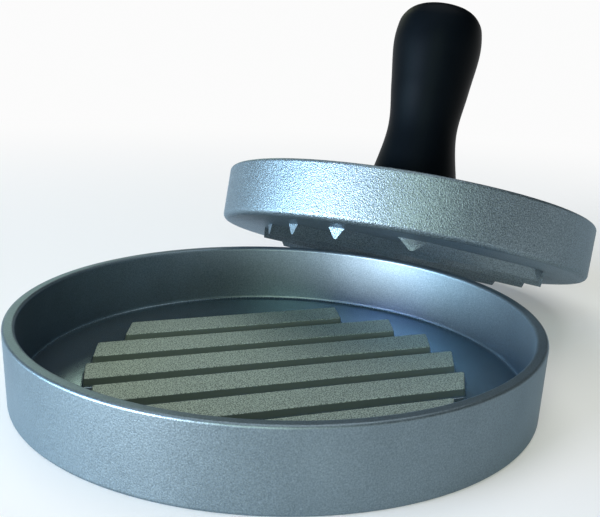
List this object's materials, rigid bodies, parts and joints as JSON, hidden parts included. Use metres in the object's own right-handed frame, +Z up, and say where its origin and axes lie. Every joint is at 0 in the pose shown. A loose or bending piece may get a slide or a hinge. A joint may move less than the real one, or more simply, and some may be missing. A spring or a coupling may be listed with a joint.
{
  "type": "burger press",
  "caption": "Round hand press for burger patties: a shallow dish with flat bars on its floor, and a ridged press plate with an upright handle, leaning on the rim of the dish.",
  "frame": {"origin": "centre of the flat underside of the dish, where it rests on the table", "axes": "+Z up along the axis of the dish; X along the bars on its floor; the press leans towards +X and +Y, on the rim of the dish"},
  "size_m": [0.1687, 0.1602, 0.089],
  "materials": {
    "coated_casting": "blue-grey metallic non-stick coating with a fine pebbled texture, satin",
    "handle_plastic": "black moulded plastic, smooth satin",
    "insert_brass": "turned brass",
    "screw_steel": "stainless steel, turned head"
  },
  "bodies": {
    "base": {"dish": "coated_casting"},
    "press": {"press_plate": "coated_casting", "handle": "handle_plastic", "handle_insert": "insert_brass", "handle_screw": "screw_steel"}
  },
  "joints": [
    {"name": "press_lift", "type": "slide", "parent": "base", "child": "press", "axis": [0, 0, 1], "range_m": [0, 0.1]}
  ]
}
